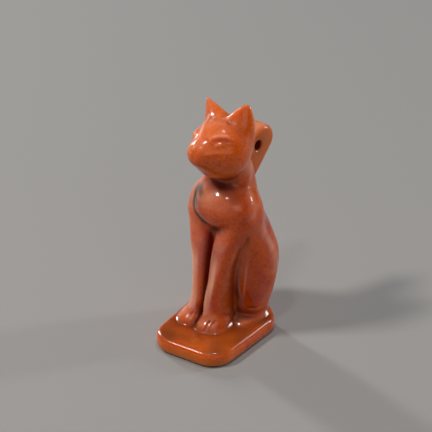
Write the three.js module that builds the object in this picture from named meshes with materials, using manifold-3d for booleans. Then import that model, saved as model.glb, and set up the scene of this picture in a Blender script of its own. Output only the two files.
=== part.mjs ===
// Cat amulet: a seated cat carved with its base and its suspension loop from one piece of polished carnelian.
// Millimetres, +Z up. The cat looks toward -Y; +X is its left side. The underside of the base is at z = 0.
import * as THREE from "three";
import { mergeVertices } from "three/addons/utils/BufferGeometryUtils.js";
import Module from "manifold-3d";

// ---- driving dimensions ----
// Centre of the whole outline in X and Y, taken off so that the part stands centred on its origin.
const CENTRE = [0, 1.64];

// Base slab: a rounded trapezium, a little narrower at the front, with rounded upper and lower edges.
const BASE_FRONT_HALF = 3.65;
const BASE_BACK_HALF = 4.19;
const BASE_HALF_DEPTH = 4.89;
const BASE_CORNER_R = 2.0;
const BASE_THICKNESS = 1.42;
const BASE_EDGE_R = 0.45;

// The figure sits on the slab a little toward the back and turned a few degrees to its right.
const FIGURE_X = -0.19;
const FIGURE_Y = 2.04;
const FIGURE_YAW = -7;
const FIGURE_FOOT_Z = 0.75; // the figure runs down to here, inside the slab

// Trunk, haunches to nape: rounded-square sections at these heights.
const TRUNK_Z = [0.5, 3, 6, 8, 10, 12, 13.5, 15, 17];
const TRUNK_BACK = [2.7, 3.25, 3.85, 4.05, 3.6, 3.1, 2.71, 2.48, 1.8];
const TRUNK_FRONT = [-0.2, -0.3, -0.4, -0.7, -1.3, -2.0, -1.9, -1.2, -1.0];
const TRUNK_HALF = [2.8, 3.39, 3.9, 3.92, 3.46, 2.7, 2.44, 2.09, 2.0];

// Breast and shoulders: swellings blended on the trunk.
const BREAST = { at: [0.4, -0.72, 12.62], r: [2.72, 1.98, 2.12] };
const SHOULDER = { at: [2.03, 0.16, 11.63], r: [1.51, 1.87, 2.42] };

// Forelegs: rounded-square sections, one row for both, mirrored about a line that leans to the right at the feet.
const LEG_Z = [1.3, 3.0, 6.0, 9.0, 12.0];
const LEG_OFFSET = [1.56, 0.81, 0.92, 1.27, 1.91];
const LEG_FRONT = [-3.31, -3.08, -2.84, -2.41, -1.72];
const LEG_BACK = [-0.4, 0.2, 0.9, 1.3, 1.7];
const LEG_HALF = [0.91, 0.92, 0.93, 1.25, 1.43];
const LEG_LEAN = -0.32;
const PAW = { at: [1.0, -2.72, 1.62], r: [0.98, 1.25, 0.55] };
// Stone left standing between the forelegs.
const WEB_Z = [0.8, 4, 8, 11];
const WEB_FRONT = [-2.1, -1.75, -1.4, -1.2];
const WEB_HALF = [1.2, 1.05, 1.2, 1.5];

// Haunches and the low hind feet beside them.
const HAUNCH = { at: [2.22, 1.3, 6.36], r: [1.45, 2.1, 3.87], roll: 4 };
const HIND_FOOT = { at: [2.3, 0.95, 1.4], r: [1.12, 2.1, 0.62] };

// Head: an egg with its blunt end at the back and the muzzle at the thin end, and two upright ears.
const HEAD_AT = [0.02, 1.49, 17.96];
const HEAD_YAW = -3;
const HEAD_ROLL = -9.28;
const SKULL_R = [2.25, 1.92, 2.15];
const MUZZLE = { from: [0, -0.6, 0.05], to: [-0.15, -2.61, 0.54], r0: 2.41, r1: 1.33 };
const EAR = { mid: 0.14, outer: 2.53, valley: 2.41, slope: 0.73, front: -0.17, rake: 0.36, back: 1.56, foot: 0.1 };

// Suspension loop: an upright tear-shaped plate behind the head, bored from side to side.
const LOOP = { x: -0.32, top: [4.73, 16.79], topR: 1.36, foot: [2.6, 13.79], footR: 0.85, half: 0.87, edge: 0.45 };
const LOOP_WEB = { foot: [1.9, 15.6], topR: 1.08, footR: 1.3 }; // its upper root on the nape
const BORE = { at: [3.8, 16.6], r: 0.45, sides: 24 };

const MESH_STEP = 0.43; // facet size of the carved surface

// ---- shape functions: distance to each form, negative inside ----
const smin = (a, b, k) => {
  const h = Math.max(k - Math.abs(a - b), 0) / k;
  return Math.min(a, b) - h * h * k * 0.25;
};
const smax = (a, b, k) => -smin(-a, -b, k);
const clamp01 = (t) => Math.min(Math.max(t, 0), 1);

function swelling(x, y, z, { at, r }, n = 2.1) {
  const s = [(x - at[0]) / r[0], (y - at[1]) / r[1], (z - at[2]) / r[2]].map((v) => Math.abs(v) + 1e-9);
  const S = s[0] ** n + s[1] ** n + s[2] ** n;
  const g =
    S ** (1 / n - 1) *
    Math.hypot(s[0] ** (n - 1) / r[0], s[1] ** (n - 1) / r[1], s[2] ** (n - 1) / r[2]);
  return (S ** (1 / n) - 1) / Math.max(g, 1e-6);
}

// Distance to the hull of two balls.
function twoBalls(p, a, b, r1, r2) {
  const ba = new THREE.Vector3().subVectors(b, a);
  const l2 = ba.lengthSq();
  const rr = r1 - r2;
  const a2 = l2 - rr * rr;
  const pa = new THREE.Vector3().subVectors(p, a);
  const y = pa.dot(ba);
  const z = y - l2;
  const x2 = pa.clone().multiplyScalar(l2).addScaledVector(ba, -y).lengthSq();
  const y2 = y * y * l2;
  const z2 = z * z * l2;
  const k = Math.sign(rr) * rr * rr * x2;
  if (Math.sign(z) * a2 * z2 > k) return Math.sqrt(x2 + z2) / l2 - r2;
  if (Math.sign(y) * a2 * y2 < k) return Math.sqrt(x2 + y2) / l2 - r1;
  return (Math.sqrt((x2 * a2) / l2) + y * rr) / l2 - r1;
}

// A smooth curve through a row of stations.
function station(z, zs, vs) {
  const n = zs.length;
  const slope = (i) =>
    i === 0
      ? (vs[1] - vs[0]) / (zs[1] - zs[0])
      : i === n - 1
        ? (vs[n - 1] - vs[n - 2]) / (zs[n - 1] - zs[n - 2])
        : (vs[i + 1] - vs[i - 1]) / (zs[i + 1] - zs[i - 1]);
  const c = Math.min(Math.max(z, zs[0]), zs[n - 1]);
  let i = 0;
  while (i < n - 2 && c >= zs[i + 1]) i++;
  const h = zs[i + 1] - zs[i];
  const t = (c - zs[i]) / h;
  return (
    (2 * t ** 3 - 3 * t ** 2 + 1) * vs[i] +
    (t ** 3 - 2 * t ** 2 + t) * h * slope(i) +
    (-2 * t ** 3 + 3 * t ** 2) * vs[i + 1] +
    (t ** 3 - t ** 2) * h * slope(i + 1)
  );
}

// Distance to a form given by rounded sections at the stations zs.
function sections(x, y, z, zs, offset, front, back, half, power, cap) {
  const level = (px, py, pz) => {
    const f = station(pz, zs, front);
    const b = station(pz, zs, back);
    const w = station(pz, zs, half);
    const c = offset ? station(pz, zs, offset) : 0;
    const u = Math.abs((px - c) / w) + 1e-9;
    const v = Math.abs((py - (f + b) / 2) / ((b - f) / 2)) + 1e-9;
    return (u ** power + v ** power) ** (1 / power);
  };
  const e = 0.05;
  const g = Math.hypot(
    level(x + e, y, z) - level(x - e, y, z),
    level(x, y + e, z) - level(x, y - e, z),
    level(x, y, z + e) - level(x, y, z - e),
  );
  const d = ((level(x, y, z) - 1) * 2 * e) / Math.max(g, 1e-6);
  return smax(d, Math.max(zs[0] - z, z - zs[zs.length - 1]), cap);
}

// Distance to a plane through c with the outward normal n.
const plane = (x, y, z, n, c) =>
  ((x - c[0]) * n[0] + (y - c[1]) * n[1] + (z - c[2]) * n[2]) / Math.hypot(...n);

const deg = THREE.MathUtils.degToRad;
const haunchTurn = new THREE.Matrix4().makeRotationY(deg(HAUNCH.roll)).invert();
const headTurn = new THREE.Matrix4()
  .makeTranslation(...HEAD_AT)
  .multiply(new THREE.Matrix4().makeRotationZ(deg(HEAD_YAW)))
  .multiply(new THREE.Matrix4().makeRotationY(deg(HEAD_ROLL)))
  .invert();
const figureTurn = new THREE.Matrix4()
  .makeTranslation(FIGURE_X, FIGURE_Y, 0)
  .multiply(new THREE.Matrix4().makeRotationZ(deg(FIGURE_YAW)))
  .invert();
const muzzleFrom = new THREE.Vector3(...MUZZLE.from);
const muzzleTo = new THREE.Vector3(...MUZZLE.to);
const loopTop = new THREE.Vector3(0, ...LOOP.top);
const loopFoot = new THREE.Vector3(0, ...LOOP.foot);
const loopWebFoot = new THREE.Vector3(0, ...LOOP_WEB.foot);

function torso(x, y, z) {
  const ax = Math.abs(x);
  const squareness = 3.4 - 0.8 * clamp01((z - 2) / 7);
  let d = sections(x, y, z, TRUNK_Z, null, TRUNK_FRONT, TRUNK_BACK, TRUNK_HALF, squareness, 0.8);
  d = smin(d, swelling(x, y, z, BREAST), 0.6);
  d = smin(d, swelling(ax, y, z, SHOULDER), 0.7);
  let t = clamp01((6.5 - z) / 5);
  t = t * t * (3 - 2 * t);
  const lx = Math.abs(x - LEG_LEAN * t);
  const leg = sections(lx, y, z, LEG_Z, LEG_OFFSET, LEG_FRONT, LEG_BACK, LEG_HALF, 2.7, 0.6);
  d = smin(d, smin(leg, swelling(lx, y, z, PAW, 2.4), 1), 0.4);
  d = smin(d, sections(x - LEG_LEAN * t, y, z, WEB_Z, null, WEB_FRONT, [1, 1, 1, 1], WEB_HALF, 3, 0.4), 0.25);
  const h = new THREE.Vector3(ax - HAUNCH.at[0], y - HAUNCH.at[1], z - HAUNCH.at[2]).applyMatrix4(haunchTurn);
  d = smin(d, swelling(h.x, h.y, h.z, { at: [0, 0, 0], r: HAUNCH.r }, 2.4), 0.3);
  return smin(d, swelling(ax, y, z, HIND_FOOT, 2.8), 0.25);
}

function head(p) {
  const q = p.clone().applyMatrix4(headTurn);
  const skull = swelling(q.x, q.y, q.z, { at: [0, -0.1, 0.05], r: SKULL_R }, 2.15);
  let d = smin(skull, twoBalls(q, muzzleFrom, muzzleTo, MUZZLE.r0, MUZZLE.r1), 1.2);
  const ax = Math.abs(q.x - EAR.mid);
  let e = smax(
    plane(ax, q.y, q.z, [1, 0, 0], [EAR.outer, 0, 2]),
    plane(ax, q.y, q.z, [0, -1, EAR.rake], [0, EAR.front, 2]),
    1.8,
  );
  e = smax(e, plane(ax, q.y, q.z, [-EAR.slope, 0, 1], [0, 0, EAR.valley]), 0.3);
  e = smax(e, plane(ax, q.y, q.z, [0, 1, 0.04], [0, EAR.back, 2]), 0.4);
  e = smax(e, plane(ax, q.y, q.z, [0.9, 0, -1], [2.6, 0, EAR.foot]), 1.6);
  return smin(d, e, 0.5);
}

function loop(x, y, z) {
  const p = new THREE.Vector3(0, y, z);
  const rim = smin(
    twoBalls(p, loopTop, loopFoot, LOOP.topR, LOOP.footR),
    twoBalls(p, loopTop, loopWebFoot, LOOP_WEB.topR, LOOP_WEB.footR),
    0.3,
  );
  const u = rim + LOOP.edge;
  const v = Math.abs(x - LOOP.x) - LOOP.half + LOOP.edge;
  return Math.min(Math.max(u, v), 0) + Math.hypot(Math.max(u, 0), Math.max(v, 0)) - LOOP.edge;
}

function figure(p) {
  const q = p.clone().applyMatrix4(figureTurn);
  let d = smin(torso(q.x, q.y, q.z), head(p), 0.5);
  d = smin(d, loop(q.x, q.y, q.z), 0.4);
  return smax(d, FIGURE_FOOT_Z - p.z, 0.02);
}

// ---- the carved surface as a closed mesh: one vertex in each cell the surface crosses ----
function surfaceOf(field, min, max, step) {
  const n = [0, 1, 2].map((i) => Math.ceil((max[i] - min[i]) / step) + 1);
  const at = (i, j, k) => (k * n[1] + j) * n[0] + i;
  const value = new Float64Array(n[0] * n[1] * n[2]);
  const p = new THREE.Vector3();
  for (let k = 0; k < n[2]; k++)
    for (let j = 0; j < n[1]; j++)
      for (let i = 0; i < n[0]; i++)
        value[at(i, j, k)] = field(p.set(min[0] + i * step, min[1] + j * step, min[2] + k * step));
  const gradient = (v) => {
    const e = 0.02;
    const g = new THREE.Vector3();
    for (const a of ["x", "y", "z"]) {
      const hi = v.clone();
      const lo = v.clone();
      hi[a] += e;
      lo[a] -= e;
      g[a] = (field(hi) - field(lo)) / (2 * e);
    }
    return g;
  };
  const vertex = new Map();
  const positions = [];
  const corners = [0, 1, 2, 3, 4, 5, 6, 7].map((c) => [c & 1, (c >> 1) & 1, c >> 2]);
  for (let k = 0; k < n[2] - 1; k++)
    for (let j = 0; j < n[1] - 1; j++)
      for (let i = 0; i < n[0] - 1; i++) {
        const v = corners.map(([a, b, c]) => value[at(i + a, j + b, k + c)]);
        if (v.every((w) => w < 0) || v.every((w) => w >= 0)) continue;
        const sum = new THREE.Vector3();
        let count = 0;
        for (let a = 0; a < 8; a++)
          for (const bit of [1, 2, 4]) {
            const b = a | bit;
            if (a & bit || v[a] < 0 === v[b] < 0) continue;
            const t = v[a] / (v[a] - v[b]);
            sum.x += corners[a][0] + t * (corners[b][0] - corners[a][0]);
            sum.y += corners[a][1] + t * (corners[b][1] - corners[a][1]);
            sum.z += corners[a][2] + t * (corners[b][2] - corners[a][2]);
            count++;
          }
        const centre = sum
          .multiplyScalar(1 / count)
          .add(new THREE.Vector3(i, j, k))
          .multiplyScalar(step)
          .add(new THREE.Vector3(...min));
        // bring it onto the surface, without leaving the cell by much
        const start = centre.clone();
        for (let s = 0; s < 3; s++) {
          const g = gradient(centre);
          const move = -field(centre) / Math.max(g.lengthSq(), 0.25);
          centre.addScaledVector(g, move);
        }
        if (centre.distanceTo(start) > 0.6 * step) centre.copy(start);
        vertex.set(at(i, j, k), positions.length / 3);
        positions.push(centre.x, centre.y, centre.z);
      }
  const index = [];
  const quad = (a, b, c, d, flip) => {
    const P = [a, b, c, d].map((v) => new THREE.Vector3(...positions.slice(3 * v, 3 * v + 3)));
    const tri = P[0].distanceToSquared(P[2]) <= P[1].distanceToSquared(P[3]) ? [0, 1, 2, 0, 2, 3] : [1, 2, 3, 1, 3, 0];
    const q = [a, b, c, d];
    for (let t = 0; t < 6; t += 3)
      index.push(...(flip ? [q[tri[t]], q[tri[t + 2]], q[tri[t + 1]]] : [q[tri[t]], q[tri[t + 1]], q[tri[t + 2]]]));
  };
  for (let k = 1; k < n[2] - 1; k++)
    for (let j = 1; j < n[1] - 1; j++)
      for (let i = 1; i < n[0] - 1; i++) {
        const here = value[at(i, j, k)] < 0;
        const cell = (a, b, c) => vertex.get(at(i + a, j + b, k + c));
        if (here !== value[at(i + 1, j, k)] < 0)
          quad(cell(0, -1, -1), cell(0, 0, -1), cell(0, 0, 0), cell(0, -1, 0), !here);
        if (here !== value[at(i, j + 1, k)] < 0)
          quad(cell(-1, 0, -1), cell(-1, 0, 0), cell(0, 0, 0), cell(0, 0, -1), !here);
        if (here !== value[at(i, j, k + 1)] < 0)
          quad(cell(-1, -1, 0), cell(0, -1, 0), cell(0, 0, 0), cell(-1, 0, 0), !here);
      }
  return new THREE.BufferGeometry()
    .setAttribute("position", new THREE.Float32BufferAttribute(positions, 3))
    .setIndex(index);
}

// ---- solids ----
const wasm = await Module();
wasm.setup();

function solid(geometry) {
  const g = geometry.clone();
  g.deleteAttribute("normal");
  g.deleteAttribute("uv");
  const merged = mergeVertices(g, 1e-4);
  return new wasm.Manifold(
    new wasm.Mesh({
      numProp: 3,
      vertProperties: new Float32Array(merged.attributes.position.array),
      triVerts: new Uint32Array(merged.index.array),
    }),
  );
}

function baseSlab() {
  const r = BASE_CORNER_R;
  const d = BASE_HALF_DEPTH;
  const corners = [
    [-BASE_FRONT_HALF, -d],
    [BASE_FRONT_HALF, -d],
    [BASE_BACK_HALF, d],
    [-BASE_BACK_HALF, d],
  ].map((c) => new THREE.Vector2(...c));
  const outline = new THREE.Shape();
  corners.forEach((c, i) => {
    const before = corners[(i + 3) % 4];
    const after = corners[(i + 1) % 4];
    const a = before.clone().sub(c).normalize();
    const b = after.clone().sub(c).normalize();
    const half = Math.acos(a.dot(b)) / 2;
    const reach = r / Math.tan(half);
    const centre = c.clone().addScaledVector(a.clone().add(b).normalize(), r / Math.sin(half));
    const from = c.clone().addScaledVector(a, reach).sub(centre).angle();
    const to = c.clone().addScaledVector(b, reach).sub(centre).angle();
    outline.absarc(centre.x, centre.y, r, from, to, false);
  });
  outline.closePath();
  return new THREE.ExtrudeGeometry(outline, {
    depth: BASE_THICKNESS - 2 * BASE_EDGE_R,
    bevelEnabled: true,
    bevelThickness: BASE_EDGE_R,
    bevelSize: BASE_EDGE_R,
    bevelOffset: -BASE_EDGE_R,
    bevelSegments: 4,
    curveSegments: 6,
  }).translate(0, 0, BASE_EDGE_R);
}

const carving = solid(surfaceOf(figure, [-5.1, -4.3, 0.3], [5.1, 9.3, 23.2], MESH_STEP));
const slab = solid(baseSlab());
const bore = solid(
  new THREE.CylinderGeometry(BORE.r, BORE.r, 4, BORE.sides)
    .rotateZ(Math.PI / 2)
    .translate(LOOP.x, BORE.at[0], BORE.at[1])
    .applyMatrix4(figureTurn.clone().invert()),
);
const whole = carving.add(slab).subtract(bore).simplify(0.003);

const made = whole.getMesh();
const geometry = new THREE.BufferGeometry()
  .setAttribute("position", new THREE.Float32BufferAttribute(made.vertProperties, 3))
  .setIndex([...made.triVerts])
  .translate(-CENTRE[0], -CENTRE[1], 0);
geometry.computeVertexNormals();

const carnelian = new THREE.MeshStandardMaterial({ color: 0xb5481c, roughness: 0.22, metalness: 0 });
const amulet = new THREE.Mesh(geometry, carnelian);
amulet.name = "cat_amulet";

const part = new THREE.Group();
part.name = "cat_amulet_part";
part.add(amulet);
export default part;
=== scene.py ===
# Cat amulet in polished carnelian: the carved surface in full relief, its stone, and a plain studio.
# Shape numbers are in millimetres and turned into metres when the mesh is made. +Z up, the cat looks toward -Y.
import bpy, math
import numpy as np
from mathutils import Vector, Matrix


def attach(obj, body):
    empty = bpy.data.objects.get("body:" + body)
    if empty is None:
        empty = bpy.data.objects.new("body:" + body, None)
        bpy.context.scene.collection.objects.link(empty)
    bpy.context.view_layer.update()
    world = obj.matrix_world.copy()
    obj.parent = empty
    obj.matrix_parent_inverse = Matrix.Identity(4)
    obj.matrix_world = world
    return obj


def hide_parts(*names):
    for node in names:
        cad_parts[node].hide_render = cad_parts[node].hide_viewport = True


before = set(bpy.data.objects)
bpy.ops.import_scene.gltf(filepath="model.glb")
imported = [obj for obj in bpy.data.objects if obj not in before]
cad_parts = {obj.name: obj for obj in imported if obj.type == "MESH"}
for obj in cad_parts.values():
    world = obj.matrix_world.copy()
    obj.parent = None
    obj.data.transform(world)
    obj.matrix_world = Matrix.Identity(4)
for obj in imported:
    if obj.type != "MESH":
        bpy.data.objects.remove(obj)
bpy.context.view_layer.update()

CENTRE = (0.0, 1.64)          # taken off X and Y, as in the solid
STEP = 0.1                     # facet size of the surface

# ------------------------------------------------------------------ shape functions
def V(*a): return np.array(a, float)
def length(p): return np.sqrt((p * p).sum(-1))
def smin(a, b, k):
    h = np.maximum(k - np.abs(a - b), 0) / k
    return np.minimum(a, b) - h * h * k * 0.25
def smax(a, b, k): return -smin(-a, -b, k)
def ramp(t):
    t = np.clip(t, 0, 1)
    return t * t * (3 - 2 * t)
def rot(yaw, pitch, roll):
    y, p, r = np.radians([yaw, pitch, roll])
    Rz = np.array([[np.cos(y), -np.sin(y), 0], [np.sin(y), np.cos(y), 0], [0, 0, 1]])
    Rx = np.array([[1, 0, 0], [0, np.cos(p), -np.sin(p)], [0, np.sin(p), np.cos(p)]])
    Ry = np.array([[np.cos(r), 0, np.sin(r)], [0, 1, 0], [-np.sin(r), 0, np.cos(r)]])
    return Rz @ Rx @ Ry
def plane(p, n, c):
    n = V(*n); n = n / np.linalg.norm(n)
    return (p - V(*c)) @ n
def swell(P, c, r, n=2.1, R=None):
    # a swelling: superellipsoid with half sizes r about c
    p = P - V(*c)
    if R is not None: p = p @ R
    r = V(*r)
    q = np.abs(p / r) + 1e-9
    S = (q ** n).sum(-1)
    g = S ** (1 / n - 1) * np.sqrt(((q ** (n - 1) / r) ** 2).sum(-1))
    return (S ** (1 / n) - 1) / np.maximum(g, 1e-6)
def balls(P, a, b, r1, r2):
    # the hull of two balls
    a = V(*a); b = V(*b); ba = b - a; l2 = ba @ ba; rr = r1 - r2; a2 = l2 - rr * rr
    pa = P - a; y = pa @ ba; z = y - l2
    q = pa * l2 - y[..., None] * ba; x2 = (q * q).sum(-1); y2 = y * y * l2; z2 = z * z * l2
    k = np.sign(rr) * rr * rr * x2
    o = (np.sqrt(np.maximum(x2 * a2 / l2, 0)) + y * rr) / l2 - r1
    return np.where(np.sign(z) * a2 * z2 > k, np.sqrt(x2 + z2) / l2 - r2,
                    np.where(np.sign(y) * a2 * y2 < k, np.sqrt(x2 + y2) / l2 - r1, o))
def station(z, zs, vs):
    zs = np.asarray(zs, float); vs = np.asarray(vs, float)
    m = np.empty_like(vs); m[1:-1] = (vs[2:] - vs[:-2]) / (zs[2:] - zs[:-2])
    m[0] = (vs[1] - vs[0]) / (zs[1] - zs[0]); m[-1] = (vs[-1] - vs[-2]) / (zs[-1] - zs[-2])
    c = np.clip(z, zs[0], zs[-1]); i = np.clip(np.searchsorted(zs, c, side="right") - 1, 0, len(zs) - 2)
    h = zs[i + 1] - zs[i]; t = (c - zs[i]) / h; t2 = t * t; t3 = t2 * t
    return (2 * t3 - 3 * t2 + 1) * vs[i] + (t3 - 2 * t2 + t) * h * m[i] + (-2 * t3 + 3 * t2) * vs[i + 1] + (t3 - t2) * h * m[i + 1]
def sections(P, zs, off, front, back, half, n=2.4, cap=0.5):
    x, y, z = P[..., 0], P[..., 1], P[..., 2]
    e = 0.05
    def level(x, y, z):
        f = station(z, zs, front); b = station(z, zs, back); w = station(z, zs, half); c = station(z, zs, off)
        u = np.abs((x - c) / w) + 1e-9; v = np.abs((y - (f + b) / 2) / ((b - f) / 2)) + 1e-9
        return (u ** n + v ** n) ** (1 / n)
    gx = level(x + e, y, z) - level(x - e, y, z)
    gy = level(x, y + e, z) - level(x, y - e, z)
    gz = level(x, y, z + e) - level(x, y, z - e)
    d = (level(x, y, z) - 1) * 2 * e / np.maximum(np.sqrt(gx * gx + gy * gy + gz * gz), 1e-5)
    return smax(d, np.maximum(zs[0] - z, z - zs[-1]), cap)

# ------------------------------------------------------------------ the cat
FIG = V(-0.19, 2.04, 0); FIG_R = rot(-7, 0, 0)
HEAD = V(0.02, 1.49, 17.96); HEAD_R = rot(-3, 0, 0) @ rot(0, 0, -9.28)
TRUNK_Z = [0.5, 3, 6, 8, 10, 12, 13.5, 15, 17]
TRUNK_BACK = [2.7, 3.25, 3.85, 4.05, 3.6, 3.1, 2.71, 2.48, 1.8]
TRUNK_FRONT = [-0.2, -0.3, -0.4, -0.7, -1.3, -2.0, -1.9, -1.2, -1.0]
TRUNK_HALF = [2.8, 3.39, 3.9, 3.92, 3.46, 2.7, 2.44, 2.09, 2.0]
LEG_Z = [1.3, 3.0, 6.0, 9.0, 12.0]
LEG_OFF = [1.56, 0.81, 0.92, 1.27, 1.91]
LEG_FRONT = [-3.31, -3.08, -2.84, -2.41, -1.72]
LEG_BACK = [-0.4, 0.2, 0.9, 1.3, 1.7]
LEG_HALF = [0.91, 0.92, 0.93, 1.25, 1.43]

def mirror(p, x0=0.0):
    q = p.copy(); q[..., 0] = np.abs(q[..., 0] - x0)
    return q
def torso(p):
    q = mirror(p)
    z = p[..., 2]
    d = sections(p, TRUNK_Z, [0] * 9, TRUNK_FRONT, TRUNK_BACK, TRUNK_HALF, 3.4 - 0.8 * np.clip((z - 2) / 7, 0, 1), 0.8)
    d = smin(d, swell(p, (0.40, -0.72, 12.62), (2.72, 1.98, 2.12)), 0.6)
    d = smin(d, swell(q, (2.03, 0.16, 11.63), (1.51, 1.87, 2.42)), 0.7)
    t = ramp((6.5 - z) / 5)
    m = p.copy(); m[..., 0] = p[..., 0] - -0.32 * t
    r = mirror(m)
    leg = sections(r, LEG_Z, LEG_OFF, LEG_FRONT, LEG_BACK, LEG_HALF, 2.7, 0.6)
    leg = smin(leg, swell(r, (1.0, -2.72, 1.62), (0.98, 1.25, 0.55), 2.4), 1.0)
    d = smin(d, leg, 0.4)
    d = smin(d, sections(m, [0.8, 4, 8, 11], [0, 0, 0, 0], [-2.1, -1.75, -1.4, -1.2], [1, 1, 1, 1], [1.2, 1.05, 1.2, 1.5], 3.0, 0.4), 0.25)
    d = smin(d, swell(q, (2.22, 1.3, 6.36), (1.45, 2.1, 3.87), 2.4, rot(0, 4, 0)), 0.3)
    return smin(d, swell(q, (2.3, 0.95, 1.4), (1.12, 2.1, 0.62), 2.8), 0.25)
def groove(p, pts, width, depth):
    # a rounded cut along a broken line: how much to take off at p
    out = np.zeros(p.shape[:-1])
    for a, b in zip(pts[:-1], pts[1:]):
        a = V(*a); b = V(*b); ab = b - a
        t = np.clip(((p - a) @ ab) / (ab @ ab), 0, 1)
        r = length(p - a - t[..., None] * ab) / width
        out = np.maximum(out, depth * np.exp(-r * r * 1.6))
    return out
EYE = V(1.40, -2.26, 1.26)                                  # on the cheek's surface
EYE_N = V(0.57, -0.55, 0.61) / np.linalg.norm(V(0.57, -0.55, 0.61))
EYE_U = V(0.66, 0.74, -0.10); EYE_U = EYE_U - (EYE_U @ EYE_N) * EYE_N; EYE_U = EYE_U / np.linalg.norm(EYE_U)
EYE_V = np.cross(EYE_N, EYE_U)
BRIDGE = [(-1.12, 0.0, 2.75), (-0.98, -0.7, 2.45), (-0.45, -1.9, 2.2), (-0.12, -2.95, 1.78), (-0.15, -3.6, 1.36)]
BROW = [tuple(EYE + u * EYE_U + (0.74 - 0.22 * u * u) * EYE_V + 0.05 * EYE_N) for u in (-0.25, 0.25, 0.75)]
def face(p, d):
    # eyes: a shallow socket with the ball standing in it, under a brow ridge; the right one is fainter
    for side, k in ((1, 1.0), (-1, 0.75)):
        q = p.copy(); q[..., 0] = side * p[..., 0] + (0.1 if side < 0 else 0)
        u = (q - EYE) @ EYE_U; v = (q - EYE) @ EYE_V; n = (q - EYE) @ EYE_N
        near = np.exp(-(n / 0.9) ** 2)
        bend = v + 0.22 * u * u
        d = d + k * 0.15 * near * np.exp(-((u / 0.85) ** 2 + ((v - 0.05) / 0.46) ** 2))
        ball = np.sqrt((u / 0.60) ** 2 + (v / 0.33) ** 2 + ((n + 0.24) / 0.30) ** 2)
        d = smin(d, (ball - 1) * 0.26, 0.08)
        d = d - k * 0.22 * near * np.exp(-(np.maximum(np.abs(u - 0.25) - 0.50, 0) / 0.32) ** 2 - ((bend - 0.64) / 0.25) ** 2)
        d = d - k * 0.025 * near * np.exp(-((u / 0.7) ** 2 + ((v - 0.2 * u * u + 0.52) / 0.2) ** 2))
    # bridge ridge running from the right ear to the nose
    d = d - groove(p, BRIDGE, 0.30, 0.12)
    # pit on the brow
    d = d + 0.10 * np.exp(-(length(p - V(1.21, -0.18, 2.48)) / 0.16) ** 2)
    d = d - 0.06 * np.exp(-(length(p - V(0.95, -0.5, 2.44)) / 0.30) ** 2)
    return d
def head(P):
    p = (P - HEAD) @ HEAD_R
    d = smin(swell(p, (0, -0.1, 0.05), (2.25, 1.92, 2.15), 2.15), balls(p, (0, -0.6, 0.05), (-0.15, -2.61, 0.54), 2.41, 1.33), 1.2)
    q = mirror(p, 0.14)
    e = smax(plane(q, (1, 0, 0), (2.53, 0, 2)), plane(q, (0, -1, 0.36), (0, -0.17, 2)), 1.8)
    e = smax(e, plane(q, (-0.73, 0, 1), (0, 0, 2.41)), 0.3)
    e = smax(e, plane(q, (0, 1, 0.04), (0, 1.56, 2)), 0.4)
    e = smax(e, plane(q, (0.9, 0, -1), (2.6, 0, 0.1)), 1.6)
    # the left ear's tip is worn round
    e = np.where(p[..., 0] > 0.14, smax(e, plane(p, (0.35, 0, 1), (2.2, 0, 3.98)), 0.7), e)
    d = smin(d, e, 0.5)
    return face(p, d)
def loop(p):
    q = p.copy(); q[..., 0] = 0
    top = (0, 4.73, 16.79)
    o = smin(balls(q, top, (0, 2.6, 13.79), 1.36, 0.85), balls(q, top, (0, 1.9, 15.6), 1.08, 1.3), 0.3)
    w = np.stack([o + 0.45, np.abs(p[..., 0] - -0.32) - 0.87 + 0.45], -1)
    return np.minimum(np.maximum(w[..., 0], w[..., 1]), 0) + length(np.maximum(w, 0)) - 0.45
def bore(p):
    return np.sqrt((p[..., 1] - 3.8) ** 2 + (p[..., 2] - 16.6) ** 2) - 0.45
def slab(P):
    x, y, z = P[..., 0], P[..., 1], P[..., 2]
    rc = 2.0; hw = 3.92 + 0.055 * y
    qx = np.abs(x) - hw + rc; qy = np.abs(y) - 4.89 + rc
    d2 = np.sqrt(np.maximum(qx, 0) ** 2 + np.maximum(qy, 0) ** 2) + np.minimum(np.maximum(qx, qy), 0) - rc
    k = 0.45
    w = np.stack([d2 + k, np.maximum(z - 1.42, -z) + k], -1)
    return np.minimum(np.maximum(w[..., 0], w[..., 1]), 0) + length(np.maximum(w, 0)) - k
def body_relief(P, d):
    # a boss high on the right of the breast, and the breast's lower edge standing over the legs
    d = d - 0.20 * np.exp(-(length((P - V(-1.25, 0.0, 12.5)) / V(0.7, 0.9, 0.55)) ** 2))
    d = d + groove(P, EDGE, 0.42, 0.12)
    # crease between the left foreleg and the haunch, and the line under the haunch
    d = d + groove(P, [(2.75, 1.1, 10.4), (2.62, 1.0, 8.6), (2.45, 0.98, 6.5), (2.2, 1.1, 4.2), (2.0, 1.3, 3.0)], 0.22, 0.16)
    d = d + groove(P, [(2.2, 1.2, 2.75), (2.8, 2.0, 2.75), (3.3, 3.0, 2.8), (3.3, 4.2, 2.75)], 0.16, 0.10)
    # the long soft edges down the side of the neck and over the haunch
    for s in (1, -1):
        m = P.copy(); m[..., 0] = s * (P[..., 0] - 0.2 * (s < 0))
        d = d - groove(m, [(1.95, 2.7, 16.2), (2.02, 2.55, 15.3), (2.5, 1.9, 14.4), (2.85, 1.4, 13.6), (3.0, 1.2, 12.5), (3.02, 1.1, 11.6)], 0.45, 0.09 if s > 0 else 0.06)
        d = d - groove(m, [(2.95, 2.4, 12.4), (3.4, 2.6, 10.6), (3.66, 3.15, 9.2), (3.95, 3.65, 7.6), (4.02, 3.75, 6.6)], 0.50, 0.07 if s > 0 else 0.05)
    # toes: three short cuts on each forepaw
    for x in (-1.62, -1.25, -0.88, 0.42, 0.82, 1.22):
        d = d + groove(P, [(x + 0.10, -1.15, 2.35), (x, -1.55, 2.15), (x - 0.04, -1.98, 1.68)], 0.11, 0.17)
    return d
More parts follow.
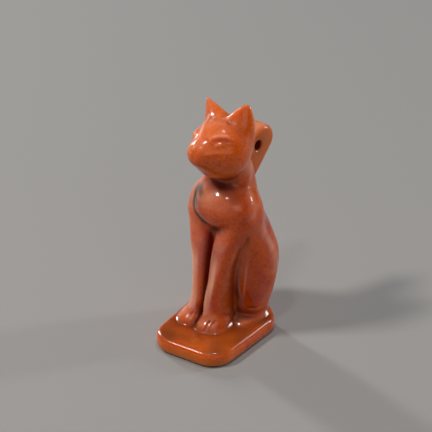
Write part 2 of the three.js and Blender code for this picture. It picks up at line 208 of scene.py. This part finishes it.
EDGE = [(-2.13, 0.5, 13.2), (-2.05, 0.3, 12.3), (-1.45, 0.1, 11.75), (-0.82, 0.1, 11.2), (-0.15, 0.1, 10.8), (0.5, -0.1, 10.7)]
def carving(P):
    p = (P - FIG) @ FIG_R
    d = body_relief(P, smin(torso(p), head(P), 0.5))
    d = smin(d, loop(p), 0.4)
    d = smax(d, -bore(p), 0.15)
    return smin(d, slab(P), 0.45)

# ------------------------------------------------------------------ surface of a distance field
def surface(field, low, high, h):
    low = V(*low); n = np.ceil((V(*high) - low) / h).astype(int) + 1
    c = 5                                     # a coarse cell is c fine cells wide
    nc = -(-n // c) + 1
    g = [low[i] + np.arange(nc[i]) * c * h for i in range(3)]
    C = field(np.stack(np.meshgrid(*g, indexing="ij"), -1).reshape(-1, 3)).reshape(nc)
    n = (nc - 1) * c + 1
    val = np.repeat(np.repeat(np.repeat(C, c, 0), c, 1), c, 2)[:n[0], :n[1], :n[2]].astype(np.float32)
    near = np.zeros(nc - 1, bool)
    for a in (0, 1):
        for b in (0, 1):
            for d in (0, 1):
                near |= np.abs(C[a:nc[0] - 1 + a, b:nc[1] - 1 + b, d:nc[2] - 1 + d]) < 1.25 * c * h
    want = np.zeros(n, bool)
    big = np.repeat(np.repeat(np.repeat(near, c, 0), c, 1), c, 2)
    for a in (0, 1):
        for b in (0, 1):
            for d in (0, 1):
                want[a:n[0] - 1 + a, b:n[1] - 1 + b, d:n[2] - 1 + d] |= big
    idx = np.argwhere(want)
    out = np.empty(len(idx), np.float32)
    for s in range(0, len(idx), 200000):
        out[s:s + 200000] = field(low + idx[s:s + 200000] * h)
    val[want] = out
    inside = val < 0
    A = [(i & 1, (i >> 1) & 1, i >> 2) for i in range(8)]
    def corner(arr, o): return arr[o[0]:n[0] - 1 + o[0], o[1]:n[1] - 1 + o[1], o[2]:n[2] - 1 + o[2]]
    cnt = sum(corner(inside, o).astype(np.int8) for o in A)
    cells = np.argwhere((cnt > 0) & (cnt < 8))
    vals = np.stack([val[cells[:, 0] + o[0], cells[:, 1] + o[1], cells[:, 2] + o[2]] for o in A], -1)
    acc = np.zeros((len(cells), 3)); m = np.zeros(len(cells))
    for a in range(8):
        for bit in (1, 2, 4):
            if a & bit: continue
            b = a | bit
            s = (vals[:, a] < 0) != (vals[:, b] < 0)
            t = vals[s, a] / (vals[s, a] - vals[s, b])
            pa = np.array(A[a], float); pb = np.array(A[b], float)
            acc[s] += pa + t[:, None] * (pb - pa); m[s] += 1
    pos = low + (cells + acc / m[:, None]) * h
    start = pos.copy()
    e = 0.02
    for _ in range(2):
        d = field(pos)
        grad = np.stack([field(pos + np.eye(3)[i] * e) - field(pos - np.eye(3)[i] * e) for i in range(3)], -1) / (2 * e)
        pos = pos - grad * (d / np.maximum((grad ** 2).sum(-1), 0.25))[:, None]
    far = length(pos - start) > 0.8 * h
    pos[far] = start[far]
    index = -np.ones(n, np.int64)
    index[cells[:, 0], cells[:, 1], cells[:, 2]] = np.arange(len(cells))
    quads = []
    for ax in range(3):
        u, v = [(1, 2), (2, 0), (0, 1)][ax]
        sl0 = [slice(1, n[i] - 1) for i in range(3)]; sl1 = list(sl0)
        sl1[ax] = slice(2, n[ax])
        a, b = inside[tuple(sl0)], inside[tuple(sl1)]
        e0 = np.argwhere(a != b) + 1
        flip = ~inside[e0[:, 0], e0[:, 1], e0[:, 2]]
        def at(du, dv):
            q = e0.copy(); q[:, u] += du; q[:, v] += dv
            return index[q[:, 0], q[:, 1], q[:, 2]]
        Q = np.stack([at(-1, -1), at(0, -1), at(0, 0), at(-1, 0)], -1)
        Q[flip] = Q[flip][:, ::-1]
        quads.append(Q)
    return pos, np.concatenate(quads)

points, quads = surface(carving, (-4.7, -5.3, -0.35), (4.7, 8.8, 22.6), STEP)
assert quads.min() >= 0
points = (points - V(CENTRE[0], CENTRE[1], 0)) * 0.001
# two triangles a quad, split along the shorter diagonal
d02 = length(points[quads[:, 0]] - points[quads[:, 2]]); d13 = length(points[quads[:, 1]] - points[quads[:, 3]])
s = d02 <= d13
tris = np.concatenate([quads[s][:, [0, 1, 2]], quads[s][:, [0, 2, 3]], quads[~s][:, [1, 2, 3]], quads[~s][:, [1, 3, 0]]])
print("surface", len(points), "points", len(tris), "triangles")
mesh = bpy.data.meshes.new("amulet_stone")
mesh.from_pydata(points.tolist(), [], tris.tolist())
mesh.polygons.foreach_set("use_smooth", np.ones(len(mesh.polygons), bool))
mesh.update()
where = points * 1000 + V(CENTRE[0], CENTRE[1], 0)       # back in the carving's own millimetres
normal = np.empty(len(points) * 3, np.float32)
mesh.vertex_normals.foreach_get("vector", normal); normal = normal.reshape(-1, 3)
def ragged(p, scale, seed):
    # a cheap smooth wobble, the same every time
    rng = np.random.default_rng(seed); out = 0
    for i in range(7):
        k = rng.normal(size=3) * scale; out = out + np.sin(p @ k + rng.uniform(0, 6.28))
    return out / 7 ** 0.5 / 1.2
def paint(name, value):
    a = mesh.attributes.new(name, "FLOAT", "POINT")
    a.data.foreach_set("value", np.clip(value, 0, 1).astype(np.float32))
def along(p, pts):
    best = np.full(len(p), 1e9)
    for a, b in zip(pts[:-1], pts[1:]):
        a = V(*a); b = V(*b); ab = b - a
        s = np.clip(((p - a) @ ab) / (ab @ ab), 0, 1)
        best = np.minimum(best, length(p - a - s[:, None] * ab))
    return best
fx = (where - FIG) @ FIG_R
loopness = ramp((fx[:, 1] - 2.7) / 0.9) * ramp((where[:, 2] - 12.8) / 1.2)
front_foot = ramp((1.35 - where[:, 2]) / 0.9) * ramp((-1.5 - where[:, 1]) / 3.0)
# the stone's ochre tone with painted glow of light through the thin loop and the slab's front foot
paint("ochre_and_glow", 0.85 * loopness + 0.75 * front_foot)
on_slab = ramp((1.75 - where[:, 2]) / 0.3)
# painted sheen: pale colour standing in for highlights on faces turned up and to the front left, weaker over the head
painted_sheen = np.clip(normal @ V(-0.28, -0.52, 0.81) - 0.30, 0, 1) * (0.62 + 0.32 * ragged(where, 1.6, 3)) * (1 - 0.55 * ramp((where[:, 2] - 15.5) / 2.0))
# painted reflection down the fronts of the legs
leg_front = ramp((normal @ V(-0.50, -0.86, 0.05) - 0.72) / 0.25) * ramp((10.0 - where[:, 2]) / 3.0) * ramp((where[:, 2] - 1.8) / 1.0)
painted_sheen = np.maximum(painted_sheen, leg_front * (0.85 + 0.30 * ragged(where * V(1, 1, 0.25), 3.2, 4)))
# painted highlights along the neck and haunch edges
NECK_EDGE = [(1.95, 2.7, 16.2), (2.02, 2.55, 15.3), (2.5, 1.9, 14.4), (2.85, 1.4, 13.6), (3.0, 1.2, 12.5)]
HAUNCH_EDGE = [(3.4, 2.4, 11.2), (3.55, 2.85, 10.0), (3.8, 3.3, 8.6), (3.98, 3.62, 7.4), (4.0, 3.7, 6.2)]
for s in (1, -1):
    m = where.copy(); m[:, 0] = s * (where[:, 0] - 0.2 * (s < 0))
    for line in (NECK_EDGE, HAUNCH_EDGE):
        painted_sheen = np.maximum(painted_sheen, (0.42 + 0.22 * ragged(where, 2.2, 6)) * np.exp(-(along(m, line) / 0.42) ** 2))
on_head = (where - HEAD) @ HEAD_R
# painted highlights along the nose bridge and the brow
painted_sheen = np.maximum(painted_sheen, (0.75 + 0.25 * ragged(where, 3.0, 7)) * np.exp(-(along(on_head, BRIDGE) / 0.20) ** 2))
painted_sheen = np.maximum(painted_sheen, 0.85 * np.exp(-(along(mirror(on_head), BROW) / 0.17) ** 2))
# painted highlight along the left ear's rim
EAR_RIM = [(2.5, 1.35, 0.8), (2.5, 1.35, 3.0), (2.2, 1.3, 3.85), (1.5, 1.2, 3.4)]
painted_sheen = np.maximum(painted_sheen, (0.5 + 0.2 * ragged(where, 2.0, 9)) * np.exp(-(along(mirror(on_head, 0.14), EAR_RIM) / 0.22) ** 2))
# painted highlight on the loop's upper faces; none on the slab
paint("painted_sheen", (painted_sheen * (1 - loopness) + 0.5 * loopness * np.clip(normal[:, 2] - 0.2, 0, 1)) * (1 - on_slab))
# painted shade in the loop around the bore; the slab's upward-facing faces are also made darker and browner
near_bore = loopness * np.exp(-((fx[:, 1] - 3.9) ** 2 + (fx[:, 2] - 16.8) ** 2) / 0.8)
paint("umber_and_bore_shade", on_slab * np.clip(normal[:, 2] * 1.3 - 0.3, 0, 1) * (0.72 + 0.24 * ragged(where, 1.3, 11)) + 0.5 * near_bore)
VEIN = [(-2.2, 0.75, 13.9), (-2.13, 0.5, 13.3), (-2.05, 0.3, 12.3), (-1.45, 0.1, 11.75), (-0.82, 0.1, 11.2), (-0.15, 0.1, 10.8), (0.4, -0.1, 10.7)]
dv = along(where, VEIN) + 0.13 * ragged(where, 4.5, 5) - 0.05
grey = np.exp(-(length((where - V(-1.75, 0.3, 13.45)) / V(0.85, 1.3, 1.0)) ** 2))
paint("ash", np.clip(1.25 * grey * (0.75 + 0.45 * ragged(where, 3.2, 8)), 0, 0.85))
heavy = np.exp(-(length(where - V(-1.3, 0.1, 11.6)) / 0.9) ** 2)
paint("vein", 0.97 * np.exp(-(np.maximum(dv - 0.26 * heavy, 0) / 0.27) ** 2))
open_to = carving(where + normal * 1.1) / 1.1            # 1 where nothing stands near, less in a hollow
under = np.clip(-normal[:, 2] * 0.9 - 0.05, 0, 1) * ramp((where[:, 2] - 1.6) / 1.0)
thin = 1 + carving(where - normal * 1.3) / 1.3
# painted glow: lighter where the stone is thin, on the face and over the upper head
paint("glow", np.clip(1.3 * thin - 0.1, 0, 1) * 0.6 + 0.35 * ramp((-0.6 - on_head[:, 1]) / 1.8) * ramp((where[:, 2] - 15.2) / 1.5) + 0.45 * ramp((where[:, 2] - 15.2) / 2.0) * (1 - loopness))
# painted shade: deep red in hollows and under downward-facing faces
paint("painted_shade", np.clip(1.15 * (0.92 - open_to), 0, 0.85) + 0.62 * under)
amulet = bpy.data.objects.new("amulet_stone", mesh)
bpy.context.scene.collection.objects.link(amulet)
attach(amulet, "root")
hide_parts("cat_amulet")

# ------------------------------------------------------------------ carnelian
mat = bpy.data.materials.new("carnelian")
mat.use_nodes = True
nt = mat.node_tree; N = nt.nodes; L = nt.links
bsdf = N["Principled BSDF"]
coord = N.new("ShaderNodeTexCoord")
def noise(scale, detail=4, rough=0.55, distort=0.0):
    t = N.new("ShaderNodeTexNoise"); t.inputs["Scale"].default_value = scale
    t.inputs["Detail"].default_value = detail; t.inputs["Roughness"].default_value = rough
    t.inputs["Distortion"].default_value = distort
    L.new(coord.outputs["Object"], t.inputs["Vector"]); return t
def ramp_node(src, stops):
    r = N.new("ShaderNodeValToRGB"); r.color_ramp.interpolation = "EASE"
    el = r.color_ramp.elements
    while len(el) < len(stops): el.new(0.5)
    for x, (p, c) in zip(el, stops): x.position = p; x.color = c
    L.new(src, r.inputs["Fac"]); return r
def mix(a, b, f, kind="MIX"):
    m = N.new("ShaderNodeMix"); m.data_type = "RGBA"; m.blend_type = kind
    for sock, v in ((m.inputs[6], a), (m.inputs[7], b), (m.inputs[0], f)):
        if hasattr(v, "is_linked") or hasattr(v, "links"): L.new(v, sock)
        else: sock.default_value = v
    return m.outputs[2]
def attr(name):
    n = N.new("ShaderNodeAttribute"); n.attribute_name = name
    return n.outputs["Fac"]
def math_node(op, a, b=0.0, clamp=False):
    m = N.new("ShaderNodeMath"); m.operation = op; m.use_clamp = clamp
    for sock, v in ((m.inputs[0], a), (m.inputs[1], b)):
        if hasattr(v, "links"): L.new(v, sock)
        else: sock.default_value = v
    return m.outputs[0]
clouds = noise(150, 5, 0.6, 0.8)
colour = ramp_node(clouds.outputs["Fac"], [(0.30, (0.42, 0.024, 0.001, 1)), (0.50, (0.66, 0.088, 0.001, 1)), (0.70, (0.78, 0.16, 0.004, 1))]).outputs["Color"]
# painted glow: thin parts, the face and the head are coloured lighter orange, standing in for light passing through the
# stone
colour = mix(colour, (0.84, 0.155, 0.004, 1), attr("glow"))
# fine mottling in the stone
speck = noise(5200, 2, 0.6)
speck_ramp = ramp_node(speck.outputs["Fac"], [(0.36, (0.62, 0.42, 0.3, 1)), (0.5, (1, 1, 1, 1)), (0.64, (1.2, 1.5, 1.7, 1))])
colour = mix(colour, speck_ramp.outputs["Color"], 0.34, "MULTIPLY")
grain = noise(1900, 4, 0.6, 0.3)
grain_ramp = ramp_node(grain.outputs["Fac"], [(0.34, (0.66, 0.5, 0.4, 1)), (0.5, (1, 1, 1, 1)), (0.66, (1.1, 1.35, 1.5, 1))])
colour = mix(colour, grain_ramp.outputs["Color"], 0.34, "MULTIPLY")
# ochre, clearer stone in the loop and along the foot of the slab, together with painted glow of light passing through
# the thin stone there
colour = mix(colour, (0.60, 0.15, 0.006, 1), attr("ochre_and_glow"))
# painted sheen: pale colour standing in for highlights and reflections on the upper faces, the leg fronts and along
# edges
colour = mix(colour, (0.88, 0.43, 0.30, 1), attr("painted_sheen"))
# the slab's upward-facing faces are made darker and browner, and painted shade darkens the loop around the bore
colour = mix(colour, (0.26, 0.055, 0.010, 1), attr("umber_and_bore_shade"))
# grey-black vein across the breast, and painted shade in the cuts, hollows and under downward-facing faces
colour = mix(colour, (0.15, 0.085, 0.065, 1), attr("ash"))
colour = mix(colour, (0.035, 0.022, 0.02, 1), attr("vein"))
colour = mix(colour, (0.17, 0.008, 0.001, 1), attr("painted_shade"))
L.new(colour, bsdf.inputs["Base Color"])
rough_noise = noise(420, 5, 0.65)
rr = N.new("ShaderNodeMapRange"); L.new(rough_noise.outputs["Fac"], rr.inputs["Value"])
rr.inputs["From Min"].default_value = 0.3; rr.inputs["From Max"].default_value = 0.7
rr.inputs["To Min"].default_value = 0.30; rr.inputs["To Max"].default_value = 0.50
L.new(rr.outputs[0], bsdf.inputs["Roughness"])
bsdf.inputs["IOR"].default_value = 1.54
bsdf.inputs["Specular IOR Level"].default_value = 0.10
bsdf.inputs["Subsurface Weight"].default_value = 0.7
bsdf.inputs["Subsurface Radius"].default_value = (1.0, 0.28, 0.06)
bsdf.inputs["Subsurface Scale"].default_value = 0.0020
bsdf.inputs["Coat Weight"].default_value = 0.80
bsdf.inputs["Coat Roughness"].default_value = 0.07
bsdf.inputs["Coat IOR"].default_value = 1.5
# small scratches and pits in the polish
fine = noise(2600, 4, 0.6)
pits = N.new("ShaderNodeTexVoronoi"); pits.inputs["Scale"].default_value = 900
L.new(coord.outputs["Object"], pits.inputs["Vector"])
pit = ramp_node(pits.outputs["Distance"], [(0.0, (0, 0, 0, 1)), (0.16, (1, 1, 1, 1))])
height = math_node("ADD", math_node("MULTIPLY", fine.outputs["Fac"], 0.5), math_node("MULTIPLY", pit.outputs["Color"], 0.35))
bump = N.new("ShaderNodeBump"); bump.inputs["Strength"].default_value = 0.38; bump.inputs["Distance"].default_value = 0.00003
L.new(height, bump.inputs["Height"])
L.new(bump.outputs["Normal"], bsdf.inputs["Normal"]); L.new(bump.outputs["Normal"], bsdf.inputs["Coat Normal"])
mesh.materials.append(mat)

# ------------------------------------------------------------------ studio
def flat(name, colour, rough=0.8):
    m = bpy.data.materials.new(name); m.use_nodes = True
    b = m.node_tree.nodes["Principled BSDF"]
    b.inputs["Base Color"].default_value = colour; b.inputs["Roughness"].default_value = rough
    return m
fm = bpy.data.meshes.new("floor")
fm.from_pydata([(-1.5, -1.5, 0), (1.5, -1.5, 0), (1.5, 1.5, 0), (-1.5, 1.5, 0)], [], [(0, 1, 2, 3)])
floor = bpy.data.objects.new("floor", fm); bpy.context.scene.collection.objects.link(floor)
fm.materials.append(flat("pale_card", (0.33, 0.325, 0.32, 1)))

world = bpy.data.worlds.new("studio"); bpy.context.scene.world = world
world.use_nodes = True
world.node_tree.nodes["Background"].inputs[0].default_value = (0.9, 0.92, 1.0, 1)
world.node_tree.nodes["Background"].inputs[1].default_value = 0.05

def softbox(name, direction, dist, size, power, colour=(1, 1, 1)):
    d = bpy.data.lights.new(name, "AREA"); d.shape = "RECTANGLE"
    d.size, d.size_y = size; d.energy = power; d.color = colour
    o = bpy.data.objects.new(name, d); bpy.context.scene.collection.objects.link(o)
    v = Vector(direction).normalized()
    o.location = Vector((0, 0, 0.011)) + v * dist
    o.rotation_euler = v.to_track_quat("Z", "Y").to_euler()
    return o
softbox("key", (-0.43, -0.45, 0.78), 0.40, (0.05, 0.05), 0.74, (1.0, 0.95, 0.90))
softbox("front", (0.10, -0.50, 0.86), 0.40, (0.04, 0.04), 0.19, (1.0, 0.97, 0.94))
softbox("top", (0.06, 0.11, 0.99), 0.40, (0.05, 0.04), 0.30)
softbox("back", (0.62, 0.74, 0.26), 0.40, (0.035, 0.20), 0.50, (1.0, 0.98, 0.96))
softbox("left", (-0.88, 0.32, 0.34), 0.40, (0.03, 0.20), 0.7)
softbox("fill", (0.80, -0.55, 0.35), 0.60, (0.35, 0.30), 0.29, (1.0, 0.94, 0.88))

AZ, EL, DIST, PX = math.radians(33.4), math.radians(29.2), 150.0, 11.65
back = Vector((math.sin(AZ) * math.cos(EL), -math.cos(AZ) * math.cos(EL), math.sin(EL)))
right = Vector((math.cos(AZ), math.sin(AZ), 0))
up = Vector((-math.sin(AZ) * math.sin(EL), math.cos(AZ) * math.sin(EL), math.cos(EL)))
f = PX * DIST
aim = (-back + right * ((216 - 213.8) / f) - up * ((216 - 231.85) / f)).normalized()
cd = bpy.data.cameras.new("camera"); cam = bpy.data.objects.new("camera", cd)
bpy.context.scene.collection.objects.link(cam)
cd.sensor_width = 36; cd.lens = f / 432 * 36; cd.clip_start = 0.01; cd.clip_end = 10
cam.location = (Vector((-CENTRE[0], -CENTRE[1], 10.5)) + back * DIST) * 0.001
z = -aim; x = Vector((0, 0, 1)).cross(z).normalized(); y = z.cross(x)
cam.rotation_euler = Matrix((x, y, z)).transposed().to_euler()
bpy.context.scene.camera = cam
bpy.context.scene.view_settings.view_transform = "Standard"
bpy.context.scene.view_settings.look = "None"
bpy.context.scene.view_settings.exposure = 0.0
